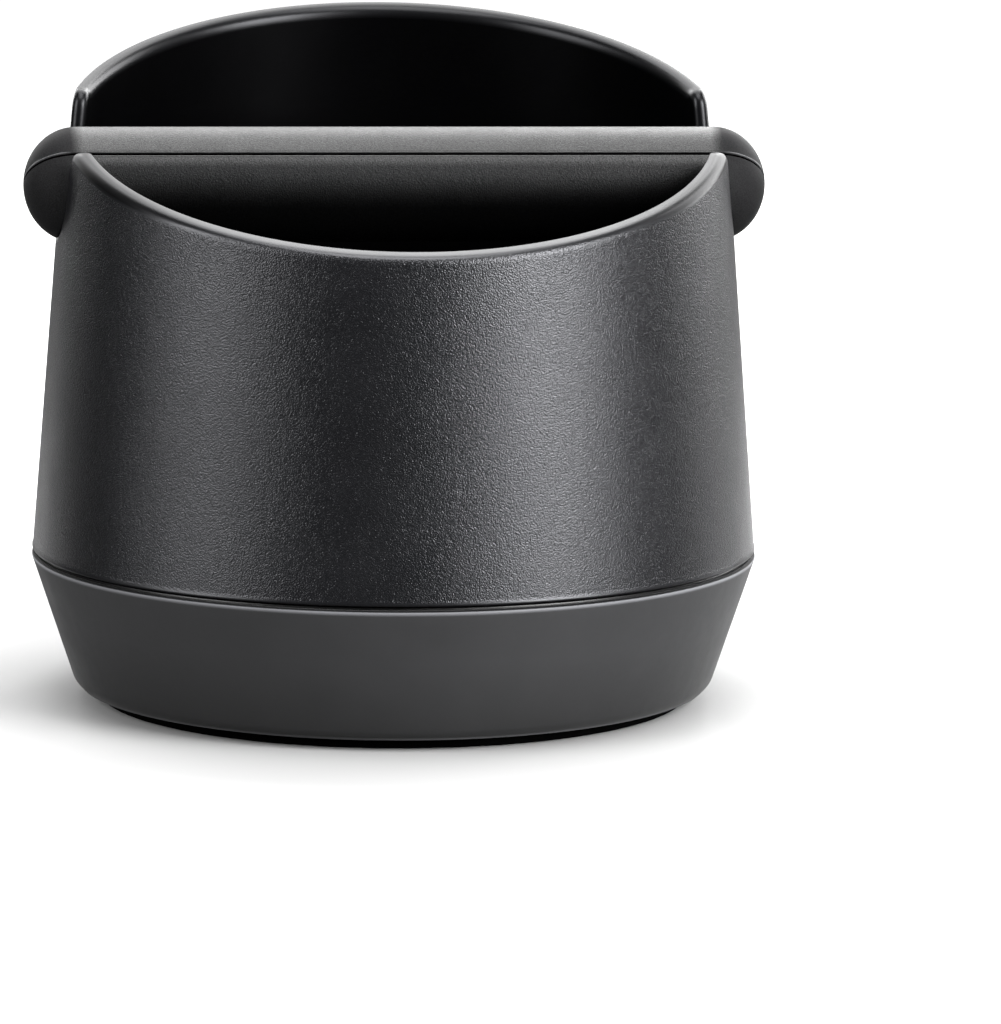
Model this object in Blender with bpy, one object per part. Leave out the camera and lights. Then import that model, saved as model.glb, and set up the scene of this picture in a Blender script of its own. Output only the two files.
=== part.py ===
"""Espresso knock box: a tapered bucket with a scooped rim, a removable rubber knock bar and a soft base band.

Frame: +Z up, origin on the floor under the bucket's centre, the low front of the rim towards -Y, and the
knock bar along X. Lengths are in metres.
"""
import math

import bmesh
import bpy
from mathutils import Vector

# Base: the widest line is the top edge of the soft boot, just under the shadow gap.
BOOT_TOP_RADIUS = 0.0713
BOOT_TOP_Z = 0.0286
BOOT_TAPER = 0.334            # radius lost for each metre down from the boot's top edge
BOOT_WALL = 0.0023
BOOT_BOTTOM_Z = 0.002
BOOT_CORNER = 0.0035          # rounding between the boot's side and its underside
BOOT_TOP_EDGE = 0.0006        # rounding of the boot's top edge
FOOT_RADIUS = 0.0582
FOOT_WIDTH = 0.0062
FOOT_EDGE = 0.0005
KEY_WIDTH = 0.0025            # the foot ring's tongue, in a groove under the cup's floor
KEY_HEIGHT = 0.0013

# Shell: a cone that narrows upwards, cut off by one sloping plane.
SHADOW_GAP = 0.0007
SHELL_FOOT_RADIUS = 0.07085
SHELL_TAPER = 0.078           # radius lost for each metre up
SHELL_FOOT_CHAMFER = 0.0004
WALL = 0.003
RIM_Z = 0.112                 # height of the rim's mid-line plane over the origin
RIM_SLOPE = 0.2915            # rise of that plane towards the back
RIM_RISE = 0.0009             # height of the rim's flat over the mid-line
RIM_FRONT_EDGES = (0.0014, 0.0003)    # roundings of the flat's outer and inner edge, in front
RIM_BACK_EDGES = (0.0003, 0.0022)     # and behind

# Knock bar and the notches that hold it.
BAR_Z = 0.1004
BAR_RADIUS = 0.0112
BAR_HALF = 0.0724
BALL_DEPTH = 0.0102           # length of the rounded end along the bar
NOTCH_SIDE_GAP = 0.00035
NOTCH_DEPTH = 0.0101          # open depth of the notch under the bar's axis
NOTCH_DRAFT = 0.064           # how much each side opens for each metre up
NOTCH_CORNER = 0.003
CORE_RADIUS = 0.007
CORE_BORE = 0.0055
CORE_HALF = 0.055
PLUG_END = 0.0623             # distance of a plug's outer end from the bar's middle
PLUG_SHANK = 0.008
PLUG_SHANK_EDGE = 0.0005
PIN_HOLE_RADIUS = 0.0015
PIN_HOLE_X = 0.035

# Base cup, the bucket's floor.
CUP_WALL = 0.0026
CUP_FLOOR_Z = 0.004
CUP_FLOOR = 0.0025
CUP_FILLET = 0.004            # inside, between the floor and the wall
CUP_CORNER = 0.002            # outside, between the wall and the underside
FLANGE_RADIUS = 0.0699        # shoulder between the shell and the boot, set back to leave the shadow gap
FLANGE_UNDER_Z = 0.0276
SPIGOT_RADIUS = 0.0672
SPIGOT_TOP_RADIUS = 0.0669
SPIGOT_TOP_Z = 0.037
SPIGOT_BORE = 0.0639
SPIGOT_BEVEL = 0.0012         # fall of the spigot's top edge towards the inside
SEAL_Z = 0.033
SEAL_RADIUS = 0.06643
SEAL_SECTION = 0.0008         # radius of the seal's round section
SEAL_GROOVE_RADIUS = 0.0653
SEAL_GROOVE_HALF = 0.0012

GAP = 0.0003                  # clearance between pieces that touch

BOOT_STEPS = 64               # facets round the boot
RING_STEPS = 48               # facets round the cup, its seal and the foot ring
SLEEVE_STEPS = 32             # facets round the rubber
BAR_STEPS = 24                # facets round the core and the plugs
RIM_STEPS = 3                 # facets over each of the rim's two edges
RIM_MARGIN = 0.0002           # plain wall between such an edge and the next row of the grid
SMOOTH_ANGLE = 35             # degrees; sharper edges than this stay sharp in shading

SHELL_FOOT_Z = BOOT_TOP_Z + SHADOW_GAP
EDGE = WALL / 2
BALL_START = BAR_HALF - BALL_DEPTH
NOTCH_HALF_WIDTH = BAR_RADIUS + NOTCH_SIDE_GAP + EDGE    # of the mid-line of the notch's round edge
NOTCH_LINE_DEPTH = NOTCH_DEPTH + EDGE
BOOT_LEAN = math.degrees(math.atan(BOOT_TAPER))


# Helpers


def material(name, color, roughness, metallic=0.0):
    made = bpy.data.materials.new(name)
    made.use_nodes = True
    shader = made.node_tree.nodes["Principled BSDF"]
    shader.inputs["Base Color"].default_value = (*color, 1)
    shader.inputs["Roughness"].default_value = roughness
    shader.inputs["Metallic"].default_value = metallic
    return made


def finish(name, bm, surface, parent=None):
    """Makes the object from a bmesh, with its faces out, shaded smooth."""
    bmesh.ops.remove_doubles(bm, verts=bm.verts, dist=1e-6)
    bmesh.ops.recalc_face_normals(bm, faces=bm.faces)
    mesh = bpy.data.meshes.new(name)
    bm.to_mesh(mesh)
    bm.free()
    mesh.shade_smooth()
    mesh.set_sharp_from_angle(angle=math.radians(SMOOTH_ANGLE))
    obj = bpy.data.objects.new(name, mesh)
    bpy.context.scene.collection.objects.link(obj)
    mesh.materials.append(surface)
    obj.parent = parent
    return obj


def turned(profile, axis, closed, steps):
    """A bmesh spun round an axis from a profile of (radius, height along the axis) points.

    A closed profile makes a ring. An open one starts and ends on the axis.
    """
    bm = bmesh.new()
    along = Vector(axis)
    side = Vector((1, 0, 0)) if axis != (1, 0, 0) else Vector((0, 0, 1))
    points = [bm.verts.new(side * radius + along * height) for radius, height in profile]
    ends = points + points[:1] if closed else points
    edges = [bm.edges.new(pair) for pair in zip(ends, ends[1:])]
    bmesh.ops.spin(
        bm, geom=points + edges, cent=(0, 0, 0), axis=along, angle=2 * math.pi, steps=steps, use_merge=True
    )
    return bm


def arc(center, radius, start, end, steps):
    """Points on an arc in the profile plane, from one angle to another in degrees."""
    for step in range(steps + 1):
        angle = math.radians(start + (end - start) * step / steps)
        yield (center[0] + radius * math.cos(angle), center[1] + radius * math.sin(angle))


def boot_radius(z):
    """The boot's outer radius at a height, on its straight side."""
    return BOOT_TOP_RADIUS - BOOT_TAPER * (BOOT_TOP_Z - z)


def cup_radius(z):
    """The cup's outer radius at a height, inside the boot."""
    return boot_radius(z) - BOOT_WALL - GAP


def wall_radius(z):
    """The shell's mid-wall radius at a height."""
    return SHELL_FOOT_RADIUS - EDGE - SHELL_TAPER * (z - SHELL_FOOT_Z)


def side_corner(radius, z, inset, turn):
    """Centre of a rounding between the boot's side, moved in by inset, and a flat at height z.

    turn is +1 for a flat at the bottom and -1 for one at the top.
    """
    lean = math.hypot(1, BOOT_TAPER)
    center_z = z + turn * radius
    return (boot_radius(center_z) - inset - radius * lean, center_z)


# Shell


def notch_outline(steps):
    """Right half of the notch's mid-line, from its deepest point up to the height where the side is straight.

    The points are (distance from the bar's axis along Y, height over the axis).
    """
    last = math.atan2(NOTCH_HALF_WIDTH, NOTCH_DRAFT * NOTCH_LINE_DEPTH)
    for step in range(steps + 1):
        angle = last * step / steps
        yield (NOTCH_HALF_WIDTH * math.sin(angle), -NOTCH_LINE_DEPTH * math.cos(angle))


def rim_corner(side, steps):
    """Rounded corner between the rim and a side of the notch. side is -1 at the front and +1 at the back.

    The points are (y, z), from the rim to the notch.
    """
    foot_y, foot_z = list(notch_outline(1))[-1]
    corner_y = foot_y + NOTCH_DRAFT * (RIM_Z - BAR_Z - foot_z)
    corner_y /= 1 - side * NOTCH_DRAFT * RIM_SLOPE
    corner = Vector((side * corner_y, RIM_Z + RIM_SLOPE * side * corner_y))
    along_rim = Vector((side, side * RIM_SLOPE)).normalized()
    down_side = Vector((-side * NOTCH_DRAFT, -1)).normalized()
    half_angle = along_rim.angle(down_side) / 2
    center = corner + (along_rim + down_side).normalized() * (NOTCH_CORNER / math.sin(half_angle))
    middle = (corner - center).normalized()
    across = (along_rim - down_side).normalized()
    for step in range(steps + 1):
        turn = (math.pi / 2 - half_angle) * (1 - 2 * step / steps)
        yield tuple(center + (middle * math.cos(turn) + across * math.sin(turn)) * NOTCH_CORNER)


def rim_half(arc_steps, corner_steps, side_steps, notch_steps):
    """The rim's mid-line on the +X side, from the front to the back: a list of (angle from -Y, z)."""
    def on_plane(angle):
        flat = wall_radius(0) - SHELL_TAPER * RIM_Z
        radius = flat / (1 - SHELL_TAPER * RIM_SLOPE * math.cos(angle))
        return RIM_Z - RIM_SLOPE * radius * math.cos(angle)

    def on_wall(y, z):
        return (math.acos(-y / wall_radius(z)), z)

    def straight(start, end, steps):
        return [start.lerp(end, step / steps) for step in range(1, steps)]

    half_notch = [Vector(point) for point in notch_outline(notch_steps)]
    ends = {}
    for side in (-1, 1):
        corner = [Vector(point) for point in rim_corner(side, corner_steps)]
        curve = [Vector((side * y, BAR_Z + z)) for y, z in reversed(half_notch)]
        path = corner + straight(corner[-1], curve[0], side_steps) + curve
        ends[side] = [on_wall(*point) for point in path]
    front_end = ends[-1][0][0]
    back_end = ends[1][0][0]
    front = [front_end * step / arc_steps for step in range(arc_steps)]
    back = [back_end + (math.pi - back_end) * (step + 1) / arc_steps for step in range(arc_steps)]
    half = [(angle, on_plane(angle)) for angle in front]
    half += ends[-1] + list(reversed(ends[1]))[1:]
    return half + [(angle, on_plane(angle)) for angle in back]


def spread(half):
    """Angles at the shell's foot for the rim's points, so that lines from rim to foot never cross."""
    notch = min(range(len(half)), key=lambda index: half[index][1])
    run = [0.0]
    for (angle, z), (next_angle, next_z) in zip(half, half[1:]):
        run.append(run[-1] + abs(next_angle - angle) + 0.4 * abs(next_z - z) / SHELL_FOOT_RADIUS)
    quarter = math.pi / 2
    front = run[notch]
    back = run[-1] - front
    feet = [quarter * length / front for length in run[:notch]]
    return feet + [quarter + quarter * (length - front) / back for length in run[notch:]]


def on_mid_wall(angle, z):
    """Point on the shell's mid-wall, and the wall's outward normal there."""
    radius = wall_radius(z)
    point = Vector((radius * math.sin(angle), -radius * math.cos(angle), z))
    normal = Vector((math.sin(angle), -math.cos(angle), SHELL_TAPER)).normalized()
    return point, normal


def rim_section(center, normal, out_of_wall):
    """Points over the rim from the outer wall to the inner one.

    The rim is a flat cut in its plane with two rounded edges. It turns into a full round towards the notches.
    """
    reach = (abs(center.y) - NOTCH_HALF_WIDTH - RIM_RISE) / NOTCH_CORNER
    reach = max(0, min(1, reach))
    flatness = reach * reach * (3 - 2 * reach)
    outward = Vector((center.x, center.y, 0)).normalized()
    across = outward + Vector((0, 0, RIM_SLOPE * outward.y))
    slope = across.dot(out_of_wall) / across.dot(normal)
    outer = Vector((EDGE, RIM_RISE + slope * EDGE))
    inner = Vector((-EDGE, RIM_RISE - slope * EDGE))
    down = Vector((0, -1))
    inward = (inner - outer).normalized()
    outer_edge, inner_edge = RIM_FRONT_EDGES if center.y < 0 else RIM_BACK_EDGES
    outline = [outer + down * (outer_edge + RIM_MARGIN)]
    edges = ((outer, down, inward, outer_edge), (inner, -inward, down, inner_edge))
    for corner, before, after, rounding in edges:
        for step in range(RIM_STEPS + 1):
            t = step / RIM_STEPS
            outline.append(corner + (before * (1 - t) ** 2 + after * t ** 2) * rounding)
    outline.append(inner + down * (inner_edge + RIM_MARGIN))
    for index, flat_point in enumerate(outline):
        turn = math.pi * index / (len(outline) - 1)
        point = Vector((math.cos(turn), math.sin(turn))) * EDGE
        point = point.lerp(flat_point, flatness)
        yield center + normal * point[0] + out_of_wall * point[1]


def body_shell(surface):
    """The bucket wall as one closed grid: round the rim in one direction, over its section in the other."""
    half = rim_half(arc_steps=20, corner_steps=3, side_steps=2, notch_steps=6)
    feet = spread(half)
    rim = half + [(2 * math.pi - angle, z) for angle, z in reversed(half[1:-1])]
    feet += [2 * math.pi - angle for angle in reversed(feet[1:-1])]
    drops = (0.94, 0.6, 0.3, 0.07)    # the grid's rows, as shares of the way down from the rim
    spine = [on_mid_wall(*point) for point in rim]
    bm = bmesh.new()
    columns = []
    for index, (angle, z) in enumerate(rim):
        center, normal = spine[index]
        travel = spine[(index + 1) % len(rim)][0] - spine[index - 1][0]
        out_of_wall = normal.cross(travel).normalized()
        foot = feet[index]

        def wall_point(drop, side):
            point, out = on_mid_wall(angle + (foot - angle) * drop, z + (SHELL_FOOT_Z - z) * drop)
            return point + out * (side * EDGE)

        def foot_point(radius, height):
            return Vector((radius * math.sin(foot), -radius * math.cos(foot), SHELL_FOOT_Z + height))

        column = [foot_point(SHELL_FOOT_RADIUS - SHELL_FOOT_CHAMFER, 0)]
        column.append(foot_point(SHELL_FOOT_RADIUS, SHELL_FOOT_CHAMFER))
        column += [wall_point(drop, 1) for drop in drops]
        column += rim_section(center, normal, out_of_wall)
        column += [wall_point(drop, -1) for drop in reversed(drops)]
        column.append(foot_point(SHELL_FOOT_RADIUS - WALL, 0))
        columns.append([bm.verts.new(point) for point in column])
    for column, following in zip(columns, columns[1:] + columns[:1]):
        for row in range(len(column)):
            beyond = (row + 1) % len(column)
            bm.faces.new((column[row], following[row], following[beyond], column[beyond]))
    return finish("body_shell", bm, surface)


# Base


def base_cup(surface):
    """Floor and lower wall of the bucket, with a shoulder under the shell and a spigot inside it."""
    floor_top = CUP_FLOOR_Z + CUP_FLOOR
    fillet = side_corner(CUP_FILLET, floor_top, BOOT_WALL + GAP + CUP_WALL, 1)
    neck_z = BOOT_TOP_Z - (cup_radius(BOOT_TOP_Z) - CUP_WALL - SPIGOT_BORE) / BOOT_TAPER
    shoulder_z = SHELL_FOOT_Z - GAP
    key = FOOT_RADIUS - FOOT_WIDTH / 2
    key_half = KEY_WIDTH / 2 + GAP
    profile = [(0, floor_top)]
    profile += arc(fillet, CUP_FILLET, -90, -BOOT_LEAN, 4)
    profile += [(SPIGOT_BORE, neck_z), (SPIGOT_BORE - GAP, SPIGOT_TOP_Z - SPIGOT_BEVEL)]
    profile += [(SPIGOT_TOP_RADIUS, SPIGOT_TOP_Z), (SPIGOT_TOP_RADIUS, SEAL_Z + SEAL_GROOVE_HALF)]
    profile += [(SEAL_GROOVE_RADIUS, SEAL_Z + SEAL_GROOVE_HALF)]
    profile += [(SEAL_GROOVE_RADIUS, SEAL_Z - SEAL_GROOVE_HALF)]
    profile += [(SPIGOT_RADIUS, SEAL_Z - SEAL_GROOVE_HALF), (SPIGOT_RADIUS, shoulder_z)]
    profile += [(FLANGE_RADIUS, shoulder_z), (FLANGE_RADIUS, FLANGE_UNDER_Z)]
    profile += [(cup_radius(FLANGE_UNDER_Z), FLANGE_UNDER_Z)]
    profile += arc(side_corner(CUP_CORNER, CUP_FLOOR_Z, BOOT_WALL + GAP, 1), CUP_CORNER, -BOOT_LEAN, -90, 3)
    profile += [(key + key_half, CUP_FLOOR_Z), (key + key_half, CUP_FLOOR_Z + KEY_HEIGHT)]
    profile += [(key - key_half, CUP_FLOOR_Z + KEY_HEIGHT), (key - key_half, CUP_FLOOR_Z)]
    profile += [(0, CUP_FLOOR_Z)]
    return finish("base_cup", turned(profile, (0, 0, 1), False, RING_STEPS), surface)


def joint_seal(surface):
    """Round-section ring in the spigot's groove."""
    profile = list(arc((SEAL_RADIUS, SEAL_Z), SEAL_SECTION, 0, 315, 7))
    return finish("joint_seal", turned(profile, (0, 0, 1), True, RING_STEPS), surface)


def base_boot(surface):
    """Soft band that grips the cup: hooked over its shoulder at the top and under its floor at the bottom."""
    lip = FLANGE_RADIUS + GAP
    under_flange = FLANGE_UNDER_Z - GAP
    under_floor = CUP_FLOOR_Z - GAP
    inside = CUP_CORNER + GAP
    profile = [(lip, BOOT_TOP_Z)]
    profile += arc(side_corner(BOOT_TOP_EDGE, BOOT_TOP_Z, 0, -1), BOOT_TOP_EDGE, 90, -BOOT_LEAN, 3)
    profile += arc(side_corner(BOOT_CORNER, BOOT_BOTTOM_Z, 0, 1), BOOT_CORNER, -BOOT_LEAN, -90, 4)
    profile += [(FOOT_RADIUS + GAP, BOOT_BOTTOM_Z), (FOOT_RADIUS + GAP, under_floor)]
    profile += arc(side_corner(inside, under_floor, BOOT_WALL, 1), inside, -90, -BOOT_LEAN, 3)
    profile += [(boot_radius(under_flange) - BOOT_WALL, under_flange), (lip, under_flange)]
    return finish("base_boot", turned(profile, (0, 0, 1), True, BOOT_STEPS), surface)


def foot_ring(surface):
    """Anti-slip ring that the box stands on, keyed into the cup's floor."""
    inner = FOOT_RADIUS - FOOT_WIDTH
    key = FOOT_RADIUS - FOOT_WIDTH / 2
    key_half = KEY_WIDTH / 2
    top = CUP_FLOOR_Z - GAP
    profile = [(inner, FOOT_EDGE), (inner + FOOT_EDGE, 0)]
    profile += [(FOOT_RADIUS - FOOT_EDGE, 0), (FOOT_RADIUS, FOOT_EDGE)]
    profile += [(FOOT_RADIUS, top), (key + key_half, top), (key + key_half, top + KEY_HEIGHT)]
    profile += [(key - key_half, top + KEY_HEIGHT), (key - key_half, top), (inner, top)]
    return finish("foot_ring", turned(profile, (0, 0, 1), True, RING_STEPS), surface)


# Knock bar, in the bar's own frame: X along the bar, its origin at the bar's middle


def bar_radius(x):
    """Outer radius of the rubber at a place along the bar, before the grooves."""
    into_ball = max(0, abs(x) - BALL_START) / BALL_DEPTH
    return BAR_RADIUS * math.sqrt(max(0, 1 - into_ball ** 2))


def grooved_radius(x, angle):
    """The same, with the groove under each end that sits over the notch's round edge.

    angle is measured from straight down.
    """
    radius = bar_radius(x)
    if math.cos(angle) <= 0:
        return radius
    edge_line = 1 / math.hypot(math.sin(angle) / NOTCH_HALF_WIDTH, math.cos(angle) / NOTCH_LINE_DEPTH)
    y = edge_line * math.sin(angle)
    wall = wall_radius(BAR_Z - edge_line * math.cos(angle))
    off = abs(x) - math.sqrt(wall ** 2 - y ** 2)
    reach = EDGE + GAP
    if abs(off) >= reach:
        return radius
    return min(radius, edge_line - math.sqrt(reach ** 2 - off ** 2))


def bar_sleeve(surface, parent):
    """Rubber over the steel core, with ball-like ends and a groove under each end."""
    groove_rows = 12
    groove_row = 0.0005
    half = [0, 0.02, 0.04, 0.055, 0.0605]
    half += [BALL_START + row * groove_row for row in range(groove_rows)]
    half += [BALL_START + BALL_DEPTH * math.sin(math.radians(angle)) for angle in (40, 53, 66, 78)]
    places = [-x for x in reversed(half[1:])] + half
    bm = bmesh.new()
    rings = []
    for x in places:
        ring = []
        for step in range(SLEEVE_STEPS):
            angle = 2 * math.pi * step / SLEEVE_STEPS
            radius = grooved_radius(x, angle)
            ring.append(bm.verts.new((x, radius * math.sin(angle), -radius * math.cos(angle))))
        rings.append(ring)
    for ring, following in zip(rings, rings[1:]):
        for step in range(SLEEVE_STEPS):
            beyond = (step + 1) % SLEEVE_STEPS
            bm.faces.new((ring[step], ring[beyond], following[beyond], following[step]))
    for ring, x in ((rings[0], -BAR_HALF), (rings[-1], BAR_HALF)):
        tip = bm.verts.new((x, 0, 0))
        for step in range(SLEEVE_STEPS):
            bm.faces.new((ring[step], ring[(step + 1) % SLEEVE_STEPS], tip))
    sleeve = finish("bar_sleeve", bm, surface, parent)

    end = [(radius + GAP, x + GAP) for radius, x in plug_end()]
    profile = [(0, end[-1][1])] + end[::-1] + [(radius, -x) for radius, x in end] + [(0, -end[-1][1])]
    cut(sleeve, "core_space", turned(profile, (1, 0, 0), False, BAR_STEPS), parent)
    for side in (-1, 1):
        hole = bmesh.new()
        radius = PIN_HOLE_RADIUS
        bmesh.ops.create_cone(hole, cap_ends=True, segments=12, radius1=radius, radius2=radius, depth=BAR_RADIUS)
        bmesh.ops.translate(hole, verts=hole.verts, vec=(side * PIN_HOLE_X, 0, -BAR_RADIUS))
        cut(sleeve, "pin_hole", hole, parent)
    return sleeve


def plug_end():
    """A plug's outer end, rounded towards its flat tip: points of (radius, distance from the bar's middle)."""
    yield (CORE_RADIUS, PLUG_END - 0.0025)
    yield (CORE_RADIUS - 0.001, PLUG_END - 0.0007)
    yield (CORE_RADIUS - 0.003, PLUG_END)


def cut(obj, name, bm, parent):
    """Cuts a bmesh out of an object, and keeps the cutter as a hidden guide."""
    cutter = finish(name, bm, obj.data.materials[0], parent)
    cutter.hide_render = True
    cutter.display_type = "WIRE"
    boolean = obj.modifiers.new(name, "BOOLEAN")
    boolean.operation = "DIFFERENCE"
    boolean.solver = "EXACT"
    boolean.object = cutter


def bar_core(surface, parent):
    """Steel tube that takes the knocks."""
    profile = [(CORE_RADIUS, CORE_HALF), (CORE_RADIUS, -CORE_HALF)]
    profile += [(CORE_BORE, -CORE_HALF), (CORE_BORE, CORE_HALF)]
    return finish("bar_core", turned(profile, (1, 0, 0), True, BAR_STEPS), surface, parent)


def bar_end_plug(side, surface, parent):
    """Plug with a shank in the tube and a rounded head in the bar's ball end."""
    name = "bar_end_plug_right" if side > 0 else "bar_end_plug_left"
    shank = CORE_BORE - GAP
    head = CORE_HALF + GAP
    inner_end = CORE_HALF - PLUG_SHANK
    profile = [(0, inner_end), (shank - PLUG_SHANK_EDGE, inner_end), (shank, inner_end + PLUG_SHANK_EDGE)]
    profile += [(shank, head), (CORE_RADIUS, head)]
    profile += plug_end()
    profile += [(0, PLUG_END)]
    profile = [(radius, side * x) for radius, x in profile]
    return finish(name, turned(profile, (1, 0, 0), False, BAR_STEPS), surface, parent)


def main():
    for obj in list(bpy.data.objects):
        bpy.data.objects.remove(obj, do_unlink=True)
    grained = material("grained_charcoal_plastic", (0.03, 0.03, 0.032), 0.5)
    black = material("black_plastic", (0.01, 0.01, 0.011), 0.4)
    soft = material("soft_touch_charcoal", (0.035, 0.035, 0.036), 0.65)
    rubber = material("black_rubber", (0.02, 0.02, 0.021), 0.6)
    foot = material("black_foot_rubber", (0.006, 0.006, 0.006), 0.8)
    seal = material("grey_silicone", (0.2, 0.2, 0.2), 0.5)
    steel = material("stainless_steel", (0.6, 0.6, 0.58), 0.3, 1.0)
    nylon = material("natural_nylon", (0.7, 0.68, 0.62), 0.5)

    body_shell(grained)
    base_cup(black)
    joint_seal(seal)
    base_boot(soft)
    foot_ring(foot)

    bar = bpy.data.objects.new("knock_bar", None)
    bar.location = (0, 0, BAR_Z)
    bpy.context.scene.collection.objects.link(bar)
    bar_sleeve(rubber, bar)
    bar_core(steel, bar)
    for side in (-1, 1):
        bar_end_plug(side, nylon, bar)


main()
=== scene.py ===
"""Looks of the espresso knock box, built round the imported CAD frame.

The shell, boot, foot ring, cup and rubber sleeve are modelled again here with fine surfaces, in the places
that the frame gives. The core, its plugs and the seal keep their CAD shapes and get materials. Lengths are in
metres.
"""

import math

import bpy
from mathutils import Matrix, Vector

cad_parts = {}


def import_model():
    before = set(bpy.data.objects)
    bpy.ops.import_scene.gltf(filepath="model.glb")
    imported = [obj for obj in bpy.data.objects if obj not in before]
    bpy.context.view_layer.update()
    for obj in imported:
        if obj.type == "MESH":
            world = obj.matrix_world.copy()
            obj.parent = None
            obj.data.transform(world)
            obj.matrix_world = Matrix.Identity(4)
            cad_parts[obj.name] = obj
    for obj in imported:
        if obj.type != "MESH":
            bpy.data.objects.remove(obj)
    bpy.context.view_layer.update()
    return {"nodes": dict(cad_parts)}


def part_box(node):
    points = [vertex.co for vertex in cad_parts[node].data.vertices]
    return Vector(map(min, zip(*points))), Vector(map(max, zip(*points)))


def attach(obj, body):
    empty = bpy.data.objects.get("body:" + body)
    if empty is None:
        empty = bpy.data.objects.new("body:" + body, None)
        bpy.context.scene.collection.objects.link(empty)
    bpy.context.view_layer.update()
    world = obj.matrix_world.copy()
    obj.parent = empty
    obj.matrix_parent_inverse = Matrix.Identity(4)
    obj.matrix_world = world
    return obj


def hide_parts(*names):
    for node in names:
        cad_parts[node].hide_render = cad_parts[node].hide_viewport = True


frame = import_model()

shell_low, shell_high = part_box("body_shell")
boot_low, boot_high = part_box("base_boot")
cup_low, cup_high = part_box("base_cup")
foot_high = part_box("foot_ring")[1]
sleeve_low, sleeve_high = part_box("bar_sleeve")

# Places and main sizes, from the frame.
SHELL_FOOT_Z = shell_low.z
SHELL_FOOT_RADIUS = shell_high.x
BOOT_TOP_Z = boot_high.z
BOOT_BOTTOM_Z = boot_low.z
FOOT_RADIUS = foot_high.x
FLANGE_RADIUS = cup_high.x
SPIGOT_TOP_Z = cup_high.z
CUP_FLOOR_Z = cup_low.z
BAR_Z = (sleeve_low.z + sleeve_high.z) / 2
BAR_RADIUS = (sleeve_high.z - sleeve_low.z) / 2
BAR_HALF = sleeve_high.x

# Shapes of the surfaces. They are the CAD's, except that the rim's rise and the boot's top radius stay a few
# hundredths of a millimetre inside it, and that the shell's lip, the horns' rounding and the boot's bead are
# made only here.
WALL = 0.003
EDGE = WALL / 2
GAP = 0.0003
SHELL_TAPER = 0.078
SHELL_FOOT_EDGE = 0.0004
SHELL_LIP = 0.00012
SHELL_LIP_HEIGHT = 0.001
RIM_Z = 0.112
RIM_SLOPE = 0.2915
RIM_RISE = 0.00088
RIM_FRONT_EDGES = (0.0014, 0.0003)
RIM_BACK_EDGES = (0.0003, 0.0022)
RIM_MARGIN = 0.0002
RIM_HORN_EDGE = 0.0004
NOTCH_SIDE_GAP = 0.00035
NOTCH_DEPTH = 0.0101
NOTCH_HALF_WIDTH = BAR_RADIUS + NOTCH_SIDE_GAP + EDGE
NOTCH_LINE_DEPTH = NOTCH_DEPTH + EDGE
NOTCH_DRAFT = 0.064
NOTCH_CORNER = 0.003
BOOT_TAPER = 0.334
BOOT_TOP_RADIUS = 0.07126
BOOT_TOP_EDGE = 0.0006
BOOT_CORNER = 0.0035
BOOT_BEAD = 0.00014
BOOT_BEAD_ROW = 8
BOOT_WALL = 0.0023
BOOT_LEAN = math.degrees(math.atan(BOOT_TAPER))
FOOT_WIDTH = 0.0062
CUP_WALL = 0.0026
CUP_FLOOR = 0.0025
CUP_FILLET = 0.004
CUP_CORNER = 0.002
FLANGE_UNDER_Z = BOOT_TOP_Z - 0.001
SPIGOT_BORE = 0.0639
SPIGOT_RADIUS = 0.0672
SPIGOT_TOP_RADIUS = 0.0669
BALL_DEPTH = 0.0102
BALL_START = BAR_HALF - BALL_DEPTH
BALL_BLEND_START = BALL_START + 0.0005
BALL_BLEND = 0.003

# The flat of the rim narrows towards the two front horns, from this |x| on and over this length, and is
# painted darker there, as painted shade. The back of the rim is painted darker too, as painted shade.
HORN_START = 0.028
HORN_LENGTH = 0.03
HORN_OUTER_PAINTED_SHADE = 0.8
HORN_INNER_PAINTED_SHADE = 0.4
RIM_BACK_SHADED_COVER = 0.4

# The seal's groove in the cup, and the tongue of the foot ring that goes up into the cup.
SEAL_Z = 0.033
SEAL_GROOVE_HALF = 0.0012
SEAL_GROOVE_RADIUS = 0.0653
TONGUE_HALF = 0.00125
TONGUE_GROOVE_DEPTH = 0.0013

# The mould's parting line round the bar: a groove on the span, and a low fin of flash on the ball ends.
# A place across the line is a distance from its middle, positive above it.
SEAM_TILT = math.radians(37.8)
SEAM_HALF_WIDTH = 0.00024
SEAM_DEPTH = 0.00035
SEAM_WALL = 0.00008
SEAM_LIP = 0.00005
SEAM_LIP_PLACE = -0.0005
SEAM_LIP_WIDTH = 0.00018
SEAM_RELIEF_PLACE = 0.00055
SEAM_RELIEF_WIDTH = 0.00012
SEAM_FADE_RADIUS = 0.003
SEAM_POINT_STEP = 0.00006
SEAM_POINTS = 14
SEAM_CLEAR_STEPS = 18
FLASH_PLACE = 0.0004
FLASH_WIDTH = 0.00013
FLASH_HEIGHT = 0.0002
# The flash's fin is painted lighter and shinier by this factor, as a painted highlight.
FLASH_PAINTED_GLINT = 7.0

# Colours, as linear red, green and blue.
SHELL_CHARCOAL = (0.0036, 0.0037, 0.0044, 1)
# The inner wall's near-black is painted shade on the same charcoal plastic.
SHELL_INSIDE_PAINTED_SHADE = (0.0006, 0.0006, 0.0007, 1)
SHELL_SHINE_TINT = (0.95, 0.955, 1.0, 1)
BOOT_GREY = (0.0205, 0.0207, 0.0222)
BAR_SPAN_BLACK = (0.0038, 0.0039, 0.0041, 1)
BAR_BALL_BLACK = (0.0125, 0.0125, 0.013, 1)
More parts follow.
